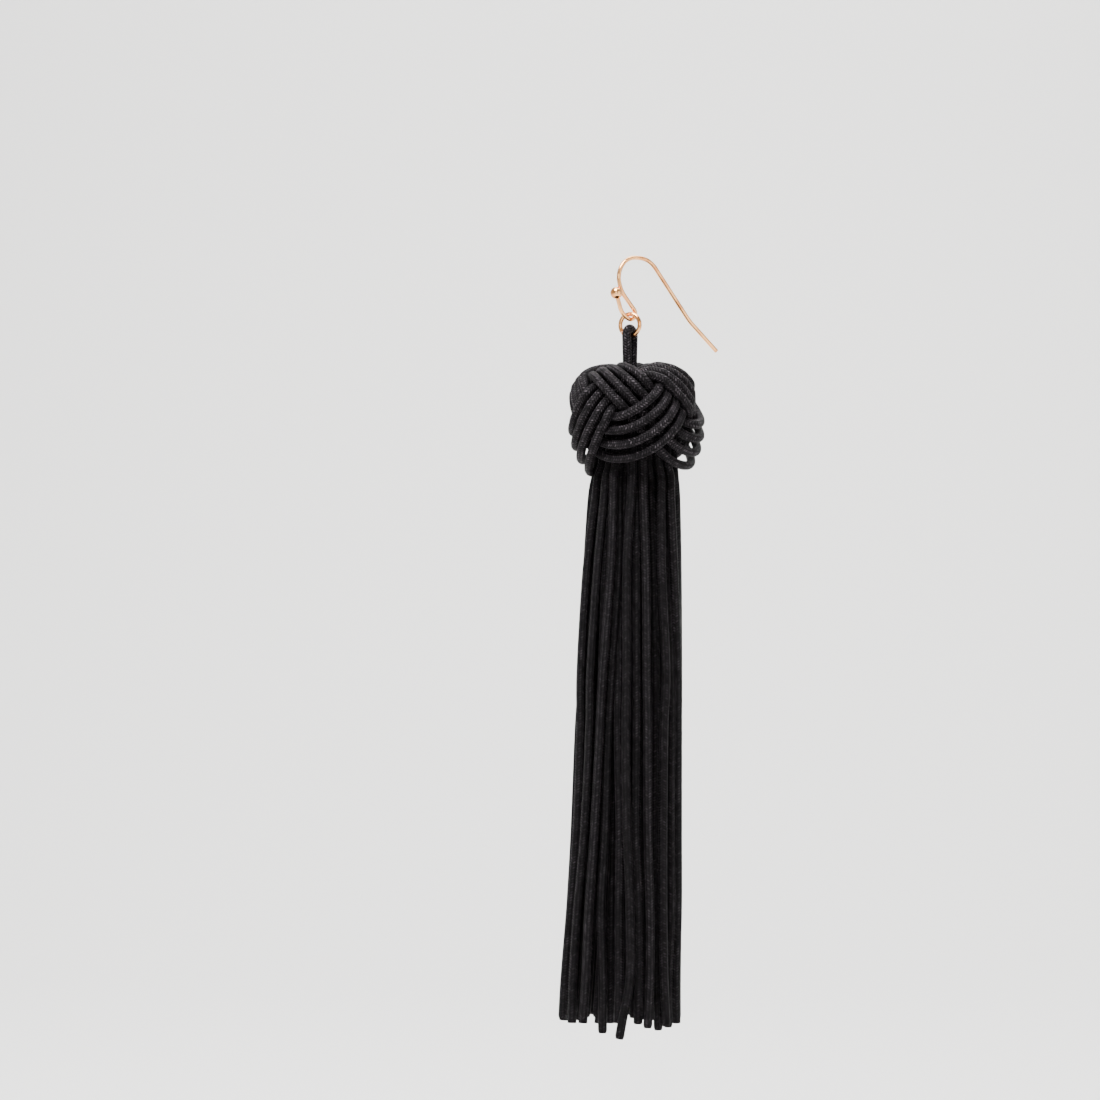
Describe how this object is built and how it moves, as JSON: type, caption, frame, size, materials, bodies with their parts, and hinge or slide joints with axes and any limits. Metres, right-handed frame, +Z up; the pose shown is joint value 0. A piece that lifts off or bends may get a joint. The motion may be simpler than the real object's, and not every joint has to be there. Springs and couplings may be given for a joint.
{
  "type": "tassel earring",
  "caption": "Drop earring: an ear wire with a ball end, a jump ring, and a long cord tassel that hangs from a woven knot.",
  "frame": {"origin": "middle of the ear wire at the top of its arch, where it goes through the pierced ear", "axes": "+Z up, with the tassel hanging towards -Z; -Y towards the viewer, who sees +X on the right"},
  "size_m": [0.0272, 0.0223, 0.1289],
  "materials": {
    "gold": "polished",
    "cord": "braided"
  },
  "bodies": {
    "ear_wire": {"ear_hook": "gold"},
    "ring": {"jump_ring": "gold"},
    "drop": {"hanging_loop": "cord", "knot": "cord", "tassel": "cord"}
  },
  "joints": [
    {"name": "ring_swing", "type": "hinge", "parent": "ear_wire", "child": "ring", "pos_m": [-0.00094, -0.00066, -0.01033], "axis": [0.8192, 0.5736, 0], "range_deg": [-30, 30]},
    {"name": "tassel_swing", "type": "hinge", "parent": "ring", "child": "drop", "pos_m": [-0.00094, -0.00066, -0.01308], "axis": [0.866, -0.5, 0], "range_deg": [-40, 40]}
  ]
}
